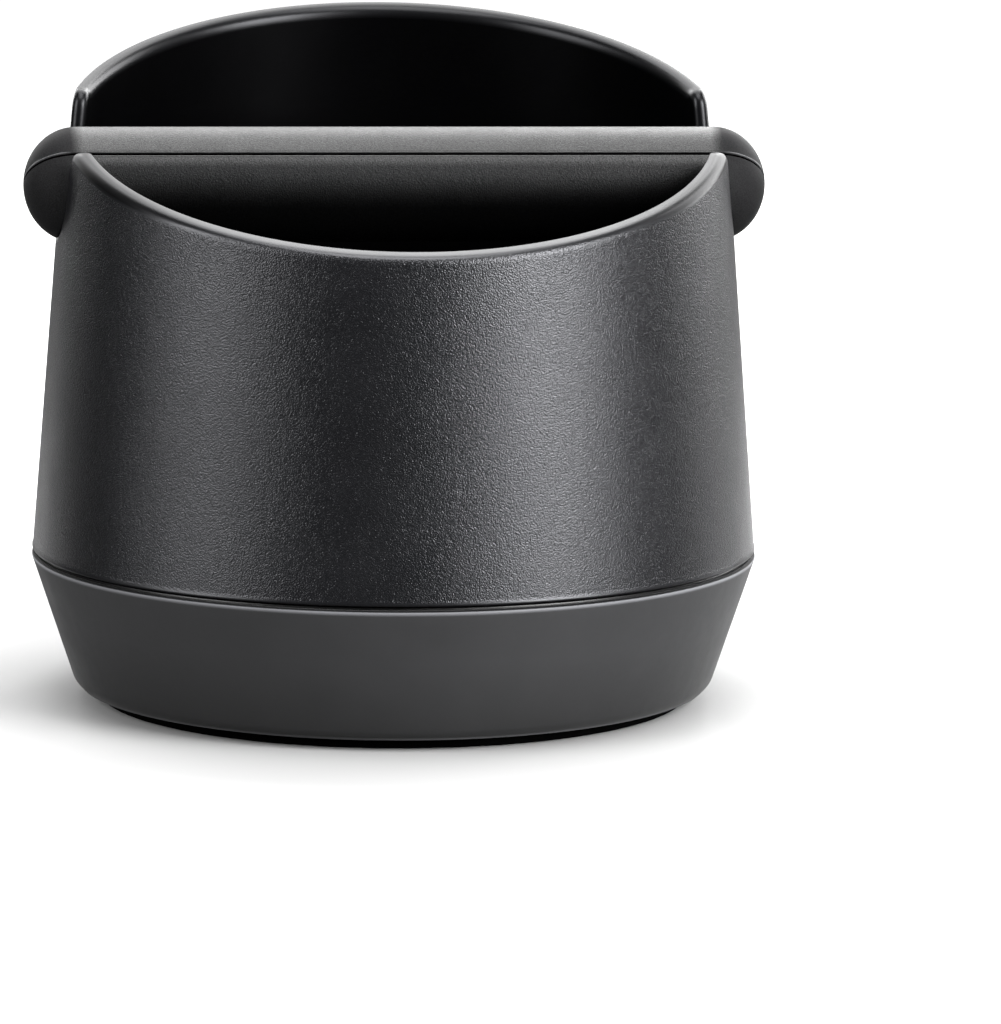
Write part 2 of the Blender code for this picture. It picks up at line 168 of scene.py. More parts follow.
# The foot ring's black is its rubber's own, painted darker still as painted shade under the boot.
FOOT_BLACK_AND_PAINTED_SHADE = (0.0008, 0.0008, 0.0008)
CUP_BLACK = (0.004, 0.004, 0.0043)
SEAL_GREY = (0.22, 0.22, 0.22)
STEEL = (0.6, 0.6, 0.58)
NYLON_WHITE = (0.7, 0.68, 0.62)

# The shell's moulded grain: the scales of its cells and creases, how it bends, and its depth.
GRAIN_CELLS = 3700.0
GRAIN_CREASES = 3900.0
GRAIN_BEND = 0.0004
GRAIN_BEND_SCALE = 900.0
GRAIN_DEPTH = 0.000062

# The boot's side is painted darker downwards between two heights, as painted shade. Its edges are painted
# lighter, as painted highlights, and its ledge is painted dark, as painted shade.
BOOT_SHADE_LOW_Z = 0.003
BOOT_SHADE_HIGH_Z = 0.018
BOOT_LOW_SHADE = 0.32
BOOT_EDGE_HIGHLIGHT = 6.0
BOOT_GAP_SHADE = 0.04

# Stage.
FLOOR_SIZE = 40.0
FLOOR_TONE = 0.44
FLOOR_BOUNCE = 0.05
FLOOR_GLOW_NEAR = 0.24
FLOOR_GLOW_FAR = 1.0
WORLD_GLOW = 1.2
LIGHT_TARGET = Vector((0, 0, 0.06))
LIGHTS = {
    # name: azimuth, elevation, distance, width, height, power
    "key_right": (46, 22, 1.0, 0.5, 0.66, 25.0),
    "strip_left": (-66, 22, 1.0, 0.44, 0.66, 9.5),
    "overhead": (0, 80, 1.0, 0.6, 0.7, 10.0),
    "overhead_back": (180, 50, 1.0, 0.8, 0.9, 10.0),
    "edge_right": (122, 22, 1.0, 0.42, 0.66, 8.5),
    "back_right": (152, 22, 1.0, 0.42, 0.66, 8.0),
    "back_left": (-152, 22, 1.0, 0.42, 0.66, 5.0),
}

# Camera: how far out and how high it stands, and which way it looks, in degrees.
CAMERA_DISTANCE = 1.1456
CAMERA_HEIGHT = 0.2219
CAMERA_AZIMUTH = -4.063
CAMERA_PAN = -1.048
CAMERA_PITCH = 9.2265
CAMERA_ROLL = 0.480
CAMERA_LENS = 207.4


# Small helpers


def eased(t):
    """A value that runs smoothly from 0 to 1."""
    t = max(0.0, min(1.0, t))
    return t * t * (3 - 2 * t)


def bell(off, middle, width):
    """A smooth bump of height 1 round a middle."""
    return math.exp(-(((off - middle) / width) ** 2))


def near_horn(x):
    """0 on the middle of the front rim, rising to 1 at its horns."""
    return eased((abs(x) - HORN_START) / HORN_LENGTH)


def on_ball(x):
    """0 on the bar's span and 1 on its ball ends."""
    return eased((abs(x) - BALL_BLEND_START) / BALL_BLEND)


def turn_from(angle, middle):
    """The signed angle from a middle, from -pi to pi."""
    return (angle - middle + math.pi) % (2 * math.pi) - math.pi


def float_attribute(obj, name, values):
    """A value for every point of a mesh, which a material can read by its name."""
    attribute = obj.data.attributes.new(name, "FLOAT", "POINT")
    attribute.data.foreach_set("value", values)


# Meshes


def arc(center, radius, start, end, steps):
    """Points on an arc in the profile plane, from one angle to another in degrees."""
    for step in range(steps + 1):
        angle = math.radians(start + (end - start) * step / steps)
        yield (center[0] + radius * math.cos(angle), center[1] + radius * math.sin(angle))


def piece(name, points, faces, surface, body, stands_for):
    """A smooth-shaded mesh that rides on a body in place of a CAD node."""
    mesh = bpy.data.meshes.new(name)
    mesh.from_pydata(points, [], faces)
    mesh.shade_smooth()
    obj = bpy.data.objects.new(name, mesh)
    bpy.context.scene.collection.objects.link(obj)
    mesh.materials.append(surface)
    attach(obj, body)
    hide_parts(stands_for)
    return obj


def woven(columns, closed_rows=True):
    """Points and quads of a grid that closes on itself round the columns, and down the rows if asked."""
    height = len(columns[0])
    points = [point for column in columns for point in column]
    rows = height if closed_rows else height - 1
    faces = []
    for index in range(len(columns)):
        here = index * height
        there = (index + 1) % len(columns) * height
        for row in range(rows):
            beyond = (row + 1) % height
            faces.append((here + row, there + row, there + beyond, here + beyond))
    return points, faces


def turned(profile, steps, closed):
    """Points and faces of a profile of (radius, z) spun round Z.

    A closed profile makes a ring. An open one starts and ends on the axis, with one point there at each end.
    """
    ring = profile if closed else profile[1:-1]
    columns = []
    for step in range(steps):
        angle = 2 * math.pi * step / steps
        columns.append([Vector((r * math.cos(angle), r * math.sin(angle), z)) for r, z in ring])
    points, faces = woven(columns, closed)
    if not closed:
        height = len(ring)
        for row, (_, z), flip in ((0, profile[0], False), (height - 1, profile[-1], True)):
            points.append(Vector((0, 0, z)))
            for step in range(steps):
                pair = (step * height + row, (step + 1) % steps * height + row)
                first, second = pair if flip else reversed(pair)
                faces.append((first, second, len(points) - 1))
    return points, faces


def rounded(corners, radius, steps=3):
    """A profile with its corners rounded: each corner is (r, z), and the ends of an open profile stay."""
    made = [corners[0]]
    for before, corner, after in zip(corners, corners[1:], corners[2:]):
        corner = Vector(corner)
        back = Vector(before) - corner
        ahead = Vector(after) - corner
        cut = min(radius, back.length * 0.45, ahead.length * 0.45)
        start = corner + back.normalized() * cut
        end = corner + ahead.normalized() * cut
        for step in range(steps + 1):
            t = step / steps
            made.append(tuple(start * (1 - t) ** 2 + corner * 2 * t * (1 - t) + end * t ** 2))
    return made + [corners[-1]]


def boot_radius(z):
    """The boot's outer radius at a height, on its straight side."""
    return BOOT_TOP_RADIUS - BOOT_TAPER * (BOOT_TOP_Z - z)


def wall_radius(z):
    """The shell's mid-wall radius at a height."""
    return SHELL_FOOT_RADIUS - EDGE - SHELL_TAPER * (z - SHELL_FOOT_Z)


def side_corner(radius, z, inset, turn):
    """Centre of a rounding between the boot's side, moved in by inset, and a flat at height z.

    turn is +1 for a flat at the bottom and -1 for one at the top.
    """
    center_z = z + turn * radius
    return (boot_radius(center_z) - inset - radius * math.hypot(1, BOOT_TAPER), center_z)


# Shell


def notch_outline(steps):
    """Half of the notch's mid-line, as (y, z from the bar), from its deepest point to its straight side."""
    last = math.atan2(NOTCH_HALF_WIDTH, NOTCH_DRAFT * NOTCH_LINE_DEPTH)
    for step in range(steps + 1):
        angle = last * step / steps
        yield Vector((NOTCH_HALF_WIDTH * math.sin(angle), -NOTCH_LINE_DEPTH * math.cos(angle)))


def rim_corner(side, steps):
    """Rounded corner between the rim and a side of the notch, in front (-1) or behind (+1), as (y, z)."""
    foot = list(notch_outline(1))[-1]
    corner_y = foot[0] + NOTCH_DRAFT * (RIM_Z - BAR_Z - foot[1])
    corner_y /= 1 - side * NOTCH_DRAFT * RIM_SLOPE
    corner = Vector((side * corner_y, RIM_Z + RIM_SLOPE * side * corner_y))
    along_rim = Vector((side, side * RIM_SLOPE)).normalized()
    down_side = Vector((-side * NOTCH_DRAFT, -1)).normalized()
    half_angle = along_rim.angle(down_side) / 2
    center = corner + (along_rim + down_side).normalized() * (NOTCH_CORNER / math.sin(half_angle))
    middle = (corner - center).normalized()
    across = (along_rim - down_side).normalized()
    for step in range(steps + 1):
        turn = (math.pi / 2 - half_angle) * (1 - 2 * step / steps)
        yield center + (middle * math.cos(turn) + across * math.sin(turn)) * NOTCH_CORNER


def rim_half(arc_steps, corner_steps, side_steps, notch_steps):
    """The rim's mid-line on the +X side, from the front to the back: a list of (angle from -Y, z)."""
    def on_plane(angle):
        flat = wall_radius(0) - SHELL_TAPER * RIM_Z
        return RIM_Z - RIM_SLOPE * flat / (1 / math.cos(angle) - SHELL_TAPER * RIM_SLOPE)

    def on_wall(point):
        return (math.acos(-point[0] / wall_radius(point[1])), point[1])

    half_notch = [Vector((y, BAR_Z + z)) for y, z in notch_outline(notch_steps)]
    paths = {}
    for side in (-1, 1):
        corner = list(rim_corner(side, corner_steps))
        curve = [Vector((side * y, z)) for y, z in reversed(half_notch)]
        straight = [corner[-1].lerp(curve[0], step / side_steps) for step in range(1, side_steps)]
        paths[side] = [on_wall(point) for point in corner + straight + curve]
    front_end = paths[-1][0][0]
    back_end = paths[1][0][0]
    front = [front_end * step / arc_steps for step in range(arc_steps)]
    back = [back_end + (math.pi - back_end) * (step + 1) / arc_steps for step in range(arc_steps)]
    half = [(angle, on_plane(angle)) for angle in front]
    half += paths[-1] + list(reversed(paths[1]))[1:]
    return half + [(angle, on_plane(angle)) for angle in back]


def spread(half):
    """Angles at the shell's foot for the rim's points, so that lines from rim to foot never cross."""
    notch = min(range(len(half)), key=lambda index: half[index][1])
    run = [0.0]
    for (angle, z), (next_angle, next_z) in zip(half, half[1:]):
        run.append(run[-1] + abs(next_angle - angle) + 0.4 * abs(next_z - z) / SHELL_FOOT_RADIUS)
    quarter = math.pi / 2
    front = run[notch]
    back = run[-1] - front
    feet = [quarter * length / front for length in run[:notch]]
    return feet + [quarter + quarter * (length - front) / back for length in run[notch:]]


def on_mid_wall(angle, z):
    """Point on the shell's mid-wall, and the wall's outward normal there."""
    radius = wall_radius(z)
    point = Vector((radius * math.sin(angle), -radius * math.cos(angle), z))
    return point, Vector((math.sin(angle), -math.cos(angle), SHELL_TAPER)).normalized()


def rim_section(center, normal, out_of_wall, edge_steps):
    """Points over the rim from the outer wall to the inner one.

    The rim is a flat cut in its plane with two rounded edges. It turns into a full round towards the notches.
    """
    flatness = eased((abs(center.y) - NOTCH_HALF_WIDTH - RIM_RISE) / NOTCH_CORNER)
    outward = Vector((center.x, center.y, 0)).normalized()
    across = outward + Vector((0, 0, RIM_SLOPE * outward.y))
    slope = across.dot(out_of_wall) / across.dot(normal)
    outer = Vector((EDGE, RIM_RISE + slope * EDGE))
    inner = Vector((-EDGE, RIM_RISE - slope * EDGE))
    down = Vector((0, -1))
    inward = (inner - outer).normalized()
    outer_edge, inner_edge = RIM_FRONT_EDGES if center.y < 0 else RIM_BACK_EDGES
    if center.y < 0:
        outer_edge += RIM_HORN_EDGE * near_horn(center.x)
    outline = [outer + down * (outer_edge + RIM_MARGIN)]
    edges = ((outer, down, inward, outer_edge), (inner, -inward, down, inner_edge))
    for corner, before, after, rounding in edges:
        for step in range(edge_steps + 1):
            t = step / edge_steps
            outline.append(corner + (before * (1 - t) ** 2 + after * t ** 2) * rounding)
    outline.append(inner + down * (inner_edge + RIM_MARGIN))
    for index, flat_point in enumerate(outline):
        turn = math.pi * index / (len(outline) - 1)
        point = Vector((math.cos(turn), math.sin(turn))) * EDGE
        point = point.lerp(flat_point, flatness)
        yield center + normal * point[0] + out_of_wall * point[1]


def rim_cover(count, center):
    """The attribute "outside" of each point over the rim, from the outer wall to the inner one.

    The plain cut is bright in front. Near the horns it is painted darker, and behind it is painted dark, as
    painted shade. The grain covers the outer edge.
    """
    behind = eased((center.y + 0.01) / 0.02)
    horn = near_horn(center.x)
    for index in range(count):
        share = index / (count - 1)
        # Painted shade: the cut's colour and shine are lowered near the horns and behind.
        front_unshaded = 1 - (HORN_OUTER_PAINTED_SHADE if share < 0.5 else HORN_INNER_PAINTED_SHADE) * horn
        front_cover = front_unshaded * (1 - eased((share - 0.6) / 0.2))
        back_cover = RIM_BACK_SHADED_COVER * (1 - eased((share - 0.8) / 0.18))
        grain = 1 - eased((share - 0.12 * (1 - horn)) / (0.25 - 0.15 * horn))
        cover = front_cover + (back_cover - front_cover) * behind
        yield cover + (2 - cover) * grain


def body_shell(surface):
    """The bucket wall as one closed grid: round the rim in one direction, over its section in the other.

    The attribute "outside" is 2 on the grained outer wall, 1 on plain plastic and 0 on the smooth inner wall;
    below 1 the plastic is painted darker, as painted shade.
    """
    half = rim_half(arc_steps=110, corner_steps=10, side_steps=10, notch_steps=26)
    feet = spread(half)
    rim = half + [(2 * math.pi - angle, z) for angle, z in reversed(half[1:-1])]
    feet += [2 * math.pi - angle for angle in reversed(feet[1:-1])]
    wall_rows = 16
    edge_steps = 6
    drops = [0.965 * (1 - row / wall_rows) ** 1.3 + 0.018 for row in range(wall_rows)]
    spine = [on_mid_wall(*point) for point in rim]
    columns = []
    outside = []
    for index, (angle, z) in enumerate(rim):
        center, normal = spine[index]
        travel = spine[(index + 1) % len(rim)][0] - spine[index - 1][0]
        out_of_wall = normal.cross(travel).normalized()
        foot = feet[index]

        def wall_point(drop, side):
            point, out = on_mid_wall(angle + (foot - angle) * drop, z + (SHELL_FOOT_Z - z) * drop)
            return point + out * (side * EDGE)

        def foot_point(radius, height):
            return Vector((radius * math.sin(foot), -radius * math.cos(foot), SHELL_FOOT_Z + height))

        corner = (SHELL_FOOT_RADIUS + SHELL_LIP - SHELL_FOOT_EDGE, SHELL_FOOT_EDGE)
        column = [foot_point(*point) for point in arc(corner, SHELL_FOOT_EDGE, -90, 10, 5)]
        cover = [1.0] * len(column)
        column.append(foot_point(SHELL_FOOT_RADIUS - SHELL_TAPER * SHELL_LIP_HEIGHT, SHELL_LIP_HEIGHT))
        column += [wall_point(drop, 1) for drop in drops]
        cover += [2.0] * (len(drops) + 1)
        section = list(rim_section(center, normal, out_of_wall, edge_steps))
        column += section
        cover += rim_cover(len(section), center)
        column += [wall_point(drop, -1) for drop in reversed(drops)]
        inner_foot = SHELL_FOOT_RADIUS - WALL
        chamfer = SHELL_FOOT_EDGE / 2
        column += [foot_point(inner_foot, chamfer), foot_point(inner_foot + chamfer, 0)]
        cover += [0.0] * (len(drops) + 2)
        columns.append(column)
        outside += cover
    points, faces = woven(columns)
    obj = piece("shell_visual", points, faces, surface, "box", "body_shell")
    float_attribute(obj, "outside", outside)


# Base


def base_boot(surface):
    """Soft band: its side leans in towards the floor, and a bead runs round its bottom rounding."""
    lip = FLANGE_RADIUS + GAP
    under_flange = FLANGE_UNDER_Z - GAP
    under_floor = CUP_FLOOR_Z - GAP
    inside = CUP_CORNER + GAP
    profile = [(lip + 0.0001, BOOT_TOP_Z)]
    profile += arc(side_corner(BOOT_TOP_EDGE, BOOT_TOP_Z, 0, -1), BOOT_TOP_EDGE, 90, -BOOT_LEAN, 8)
    top = profile[-1]
    corner = list(arc(side_corner(BOOT_CORNER, BOOT_BOTTOM_Z, 0, 1), BOOT_CORNER, -BOOT_LEAN, -90, 14))
    side_rows = 14
    for row in range(1, side_rows):
        profile.append(tuple(Vector(top).lerp(Vector(corner[0]), row / side_rows)))
    bead = BOOT_BEAD_ROW
    profile += corner[:bead]
    profile += arc(Vector(corner[bead]), BOOT_BEAD, 25, -145, 6)
    profile += corner[bead + 1:]
    profile += [(FOOT_RADIUS + GAP + 0.0003, BOOT_BOTTOM_Z), (FOOT_RADIUS + GAP, BOOT_BOTTOM_Z + 0.0003)]
    profile += [(FOOT_RADIUS + GAP, under_floor)]
    profile += arc(side_corner(inside, under_floor, BOOT_WALL, 1), inside, -90, -BOOT_LEAN, 5)
    profile += [(boot_radius(under_flange) - BOOT_WALL, under_flange), (lip, under_flange)]
    profile += [(lip, BOOT_TOP_Z - 0.0001)]
    points, faces = turned(profile[::-1], 288, True)
    piece("boot_visual", points, faces, surface, "box", "base_boot")


def foot_ring(surface):
    """Anti-slip ring under the base, with a fine ribbed tread on its underside."""
    inner = FOOT_RADIUS - FOOT_WIDTH
    middle = FOOT_RADIUS - FOOT_WIDTH / 2
    top = CUP_FLOOR_Z - GAP
    tongue_top = foot_high.z
    tread = []
    ribs = 4
    land = (FOOT_WIDTH - 0.0016) / ribs
    for rib in range(ribs):
        start = inner + 0.0008 + rib * land
        tread += [(start, 0), (start + land * 0.62, 0)]
        if rib < ribs - 1:
            tread += [(start + land * 0.74, 0.0004), (start + land * 0.88, 0.0004)]
    corners = [(inner, top)] + [(inner, 0.0004), (inner + 0.0004, 0)] + tread
    corners += [(FOOT_RADIUS - 0.0004, 0), (FOOT_RADIUS, 0.0004)]
    corners += [(FOOT_RADIUS, top), (middle + TONGUE_HALF, top), (middle + TONGUE_HALF, tongue_top)]
    corners += [(middle - TONGUE_HALF, tongue_top), (middle - TONGUE_HALF, top), (inner + 0.0002, top)]
    profile = rounded(corners, 0.00012, 2)
    points, faces = turned(profile[::-1], 240, True)
    piece("foot_visual", points, faces, surface, "box", "foot_ring")


def base_cup(surface):
    """Floor of the bucket, with its shoulder in the shadow gap and its spigot inside the shell."""
    floor_top = CUP_FLOOR_Z + CUP_FLOOR
    inset = BOOT_WALL + GAP
    neck_z = BOOT_TOP_Z - (boot_radius(BOOT_TOP_Z) - inset - CUP_WALL - SPIGOT_BORE) / BOOT_TAPER
    fillet_center = side_corner(CUP_FILLET, floor_top, inset + CUP_WALL, 1)
    fillet = list(arc(fillet_center, CUP_FILLET, -90, -BOOT_LEAN, 12))
    groove_top = SEAL_Z + SEAL_GROOVE_HALF
    groove_bottom = SEAL_Z - SEAL_GROOVE_HALF
    upper = [fillet[-1], (SPIGOT_BORE, neck_z), (SPIGOT_BORE - GAP, SPIGOT_TOP_Z - 0.0012)]
    upper += [(SPIGOT_TOP_RADIUS, SPIGOT_TOP_Z), (SPIGOT_TOP_RADIUS, groove_top)]
    upper += [(SEAL_GROOVE_RADIUS, groove_top), (SEAL_GROOVE_RADIUS, groove_bottom)]
    upper += [(SPIGOT_RADIUS, groove_bottom), (SPIGOT_RADIUS, SHELL_FOOT_Z - GAP)]
    upper += [(FLANGE_RADIUS, SHELL_FOOT_Z - GAP), (FLANGE_RADIUS, FLANGE_UNDER_Z)]
    upper += [(boot_radius(FLANGE_UNDER_Z) - inset, FLANGE_UNDER_Z)]
    corner = list(arc(side_corner(CUP_CORNER, CUP_FLOOR_Z, inset, 1), CUP_CORNER, -BOOT_LEAN, -90, 6))
    middle = FOOT_RADIUS - FOOT_WIDTH / 2
    slot = TONGUE_HALF + GAP
    slot_top = CUP_FLOOR_Z + TONGUE_GROOVE_DEPTH
    under = [corner[-1], (middle + slot, CUP_FLOOR_Z), (middle + slot, slot_top)]
    under += [(middle - slot, slot_top), (middle - slot, CUP_FLOOR_Z), (0.02, CUP_FLOOR_Z)]
    profile = [(0, floor_top), (0.002, floor_top), (0.03, floor_top)] + fillet
    profile += rounded(upper + [corner[0]], 0.0003)[1:] + corner[1:]
    profile += rounded(under, 0.0002)[1:] + [(0.002, CUP_FLOOR_Z), (0, CUP_FLOOR_Z)]
    points, faces = turned(profile, 240, False)
    piece("cup_visual", points, faces, surface, "box", "base_cup")


# Knock bar


def bar_radius(x):
    """Outer radius of the rubber at a place along the bar."""
    into_ball = max(0, abs(x) - BALL_START) / BALL_DEPTH
    return BAR_RADIUS * math.sqrt(max(0, 1 - into_ball ** 2))


def notch_groove(x, angle, radius):
    """The radius after the groove under each end that sits over the notch's round edge.

    angle is measured from straight down.
    """
    if math.cos(angle) <= 0:
        return radius
    line = 1 / math.hypot(math.sin(angle) / NOTCH_HALF_WIDTH, math.cos(angle) / NOTCH_LINE_DEPTH)
    wall = wall_radius(BAR_Z - line * math.cos(angle))
    off = abs(x) - math.sqrt(wall ** 2 - (line * math.sin(angle)) ** 2)
    reach = EDGE + GAP
    if abs(off) >= reach:
        return radius
    return min(radius, line - math.sqrt(reach ** 2 - off ** 2))


def in_seam(off):
    """1 inside the parting line's groove and 0 outside it."""
    return eased((SEAM_HALF_WIDTH + SEAM_WALL - abs(off)) / SEAM_WALL)


def bar_sleeve(surface):
    """Rubber of the knock bar, with the mould's parting line round it.

    The parting plane holds the bar's axis and rises towards the front. A point attribute is 1 in the
    line's groove, where it paints shade, 0 on the rubber, and below 0 on the flash, where it paints a
    highlight.
    """
    span_rows = 60
    ball_rows = 46
    half = [BALL_START * (row / span_rows) for row in range(span_rows)]
    half += [BALL_START + BALL_DEPTH * math.sin(math.pi / 2 * row / ball_rows) for row in range(ball_rows)]
    places = [-x for x in reversed(half[1:])] + half
    around = 168
    seam_front = -(math.pi / 2 + SEAM_TILT)
    seam_back = math.pi / 2 - SEAM_TILT
    angles = sleeve_angles(around, (seam_front, seam_back))
    columns = []
    seam_shade_and_glint = []
    for x in places:
        radius = bar_radius(x)
        column = []
        for angle in angles:
            r = notch_groove(x, angle, radius)
            dark = 0.0
            fin = 0.0
            for seam, up in ((seam_front, -1), (seam_back, 1)):
                off = turn_from(angle, seam) * up * radius
                r += seam_shape(off, x, radius)
                dark = max(dark, in_seam(off))
                fin = max(fin, on_ball(x) * bell(off, FLASH_PLACE, FLASH_WIDTH))
            column.append(Vector((x, r * math.sin(angle), BAR_Z - r * math.cos(angle))))
            # Painted shade in the groove, and a painted highlight on the flash.
            seam_shade_and_glint.append(dark - FLASH_PAINTED_GLINT * fin)
        columns.append(column)
    height = len(angles)
    points = [point for column in columns for point in column]
    faces = []
    for index in range(len(columns) - 1):
        for row in range(height):
            beyond = (row + 1) % height
            here, there = index * height, (index + 1) * height
            faces.append((here + row, here + beyond, there + beyond, there + row))
    for end, x in ((0, -BAR_HALF), (len(columns) - 1, BAR_HALF)):
        points.append(Vector((x, 0, BAR_Z)))
        for row in range(height):
            pair = (end * height + row, end * height + (row + 1) % height)
            faces.append((*(pair if end else pair[::-1]), len(points) - 1))
    obj = piece("sleeve_visual", points, faces, surface, "knock_bar", "bar_sleeve")
    float_attribute(obj, "seam_shade_and_glint", seam_shade_and_glint + [0.0, 0.0])


def sleeve_angles(around, seams):
    """Angles round the sleeve, crowded near the parting line, whose groove is much finer than the rest."""
    angles = [2 * math.pi * step / around for step in range(around)]
    fine = [offset * SEAM_POINT_STEP / BAR_RADIUS for offset in range(-SEAM_POINTS, SEAM_POINTS + 1)]
    clear = SEAM_CLEAR_STEPS * SEAM_POINT_STEP / BAR_RADIUS
    kept = []
    for angle in angles:
        gaps = [abs(turn_from(angle, seam)) for seam in seams]
        if min(gaps) > clear:
            kept.append(angle)
    for seam in seams:
        kept += [(seam + offset) % (2 * math.pi) for offset in fine]
    return sorted(kept)


def seam_shape(off, x, radius):
    """Height of the parting line over the round surface. off is the distance above the line."""
    fade = min(1, radius / SEAM_FADE_RADIUS)
    groove = -SEAM_DEPTH * in_seam(off)
    lip = SEAM_LIP * bell(off, SEAM_LIP_PLACE, SEAM_LIP_WIDTH)
    relief = -SEAM_LIP * bell(off, SEAM_RELIEF_PLACE, SEAM_RELIEF_WIDTH)
    fin = FLASH_HEIGHT * bell(off, FLASH_PLACE, FLASH_WIDTH)
    span = groove + lip + relief
    ball = fin + groove * 0.5
    return (span + (ball - span) * on_ball(x)) * fade


# Materials


def add(tree, kind, settings=(), **inputs):
    """A node with its settings and its inputs, each a value or a socket. _ in an input's name is a space."""
    node = tree.nodes.new(kind)
    for name, value in dict(settings).items():
        setattr(node, name, value)
    for name, value in inputs.items():
        plug(tree, node.inputs[name.replace("_", " ")], value)
    return node


def plug(tree, socket, value):
    """A socket linked from another one, or set to a value."""
    if isinstance(value, bpy.types.NodeSocket):
        tree.links.new(value, socket)
    else:
        socket.default_value = value


def sums(tree, operation, *values):
    """A math node's result."""
    node = tree.nodes.new("ShaderNodeMath")
    node.operation = operation
    for socket, value in zip(node.inputs, values):
        plug(tree, socket, value)
    return node.outputs[0]


def ranged(tree, value, from_low, from_high, to_low, to_high):
    """A value mapped from one range to another, and held inside it."""
    limits = {"From_Min": from_low, "From_Max": from_high, "To_Min": to_low, "To_Max": to_high}
    return add(tree, "ShaderNodeMapRange", Value=value, **limits).outputs["Result"]


def noise(tree, where, scale, detail=2.0, roughness=0.5):
    """A noise texture's value, near 0.5 on average."""
    node = add(tree, "ShaderNodeTexNoise", Vector=where, Scale=scale, Detail=detail, Roughness=roughness)
    return node.outputs["Fac"]


def from_noise(tree, value, low, high):
    """A noise value spread from low to high. Most of a noise texture lies between 0.3 and 0.7."""
    return ranged(tree, value, 0.3, 0.7, low, high)


def varied(tree, where, low, high, scale, detail=2.0, roughness=0.5):
    """A value that wanders from low to high over the surface."""
    return from_noise(tree, noise(tree, where, scale, detail, roughness), low, high)


def start(name):
    """A material with a plain Principled shader: (material, tree, shader, object coordinates)."""
    made = bpy.data.materials.new(name)
    made.use_nodes = True
    tree = made.node_tree
    shader = tree.nodes["Principled BSDF"]
    where = tree.nodes.new("ShaderNodeTexCoord").outputs["Object"]
    return made, tree, shader, where


def tinted(tree, color, amount):
    """The colour scaled by a value."""
    node = tree.nodes.new("ShaderNodeVectorMath")
    node.operation = "SCALE"
    plug(tree, node.inputs[0], color)
    plug(tree, node.inputs["Scale"], amount)
    return node.outputs[0]


def bumped(tree, shader, height, distance):
    """A bump on the shader, from a height and the distance that a height of 1 stands for."""
    bump = add(tree, "ShaderNodeBump", Height=height, Distance=distance, Strength=1.0)
    plug(tree, shader.inputs["Normal"], bump.outputs[0])


def mixed(tree, kind, share, first, second):
    """A mix of two values or colours."""
    node = add(tree, "ShaderNodeMix", {"data_type": kind})
    sockets = {"FLOAT": (2, 3, 0), "RGBA": (6, 7, 2)}[kind]
    plug(tree, node.inputs["Factor"], share)
    plug(tree, node.inputs[sockets[0]], first)
    plug(tree, node.inputs[sockets[1]], second)
    return node.outputs[sockets[2]]


def from_front(tree):
    """1 for a camera in front and near 0 for one behind, which would see the front lights' glare."""
    view = add(tree, "ShaderNodeSeparateXYZ", Vector=add(tree, "ShaderNodeNewGeometry").outputs["Incoming"])
    return ranged(tree, view.outputs["Y"], -0.3, 0.2, 1.0, 0.03)


def shell_plastic():
    """Charcoal plastic, with a fine moulded grain outside, a plain rim, and a smooth inside that is painted
    near-black, as painted shade.
    """
    made, tree, shader, where = start("shell_plastic")
    outside = add(tree, "ShaderNodeAttribute", {"attribute_name": "outside"}).outputs["Fac"]
    grained = ranged(tree, outside, 1.1, 1.8, 0.04, 1.0)
    covered = ranged(tree, outside, 0.0, 1.0, 0.0, 1.0)
    bend = add(tree, "ShaderNodeTexNoise", Vector=where, Scale=GRAIN_BEND_SCALE, Detail=1.0).outputs["Color"]
    shifted = add(tree, "ShaderNodeVectorMath", {"operation": "MULTIPLY_ADD"})
    plug(tree, shifted.inputs[0], bend)
    shifted.inputs[1].default_value = (GRAIN_BEND, GRAIN_BEND, GRAIN_BEND)
    plug(tree, shifted.inputs[2], where)
    bent = shifted.outputs[0]
    cells = add(tree, "ShaderNodeTexVoronoi", {"feature": "SMOOTH_F1"}, Vector=bent, Scale=GRAIN_CELLS)
    pebble = sums(tree, "MULTIPLY", cells.outputs["Distance"], -1.1)
    crease = noise(tree, bent, GRAIN_CREASES, 1.5, 0.6)
    height = sums(tree, "MULTIPLY", sums(tree, "ADD", pebble, crease), grained)
    bumped(tree, shader, height, GRAIN_DEPTH)
    cloud = varied(tree, where, 0.9, 1.1, 38.0, 3.0)
    dust = varied(tree, where, 0.85, 1.15, 900.0, 2.0, 0.7)
    # Below an "outside" of 1, the colour goes towards near-black and the shine drops, as painted shade on the
    # inner wall and on parts of the rim.
    color = mixed(tree, "RGBA", covered, SHELL_INSIDE_PAINTED_SHADE, SHELL_CHARCOAL)
    plug(tree, shader.inputs["Base Color"], tinted(tree, color, sums(tree, "MULTIPLY", cloud, dust)))
    outer = varied(tree, where, 0.29, 0.35, 90.0, 4.0)
    inner = varied(tree, where, 0.3, 0.36, 60.0, 3.0)
    plug(tree, shader.inputs["Roughness"], mixed(tree, "FLOAT", covered, inner, outer))
    hollow = ranged(tree, sums(tree, "ADD", pebble, crease), -0.3, 0.3, 0.0, 1.0)
    facing = add(tree, "ShaderNodeLayerWeight", Blend=0.5).outputs["Facing"]
    plain = sums(tree, "MULTIPLY", ranged(tree, facing, 0.62, 0.85, 0.5, 0.08), from_front(tree))
    shine = mixed(tree, "FLOAT", grained, plain, ranged(tree, hollow, 0.0, 1.0, 0.38, 0.58))
    plug(tree, shader.inputs["Specular IOR Level"], mixed(tree, "FLOAT", covered, 0.035, shine))
    plug(tree, shader.inputs["Specular Tint"], SHELL_SHINE_TINT)
    return made


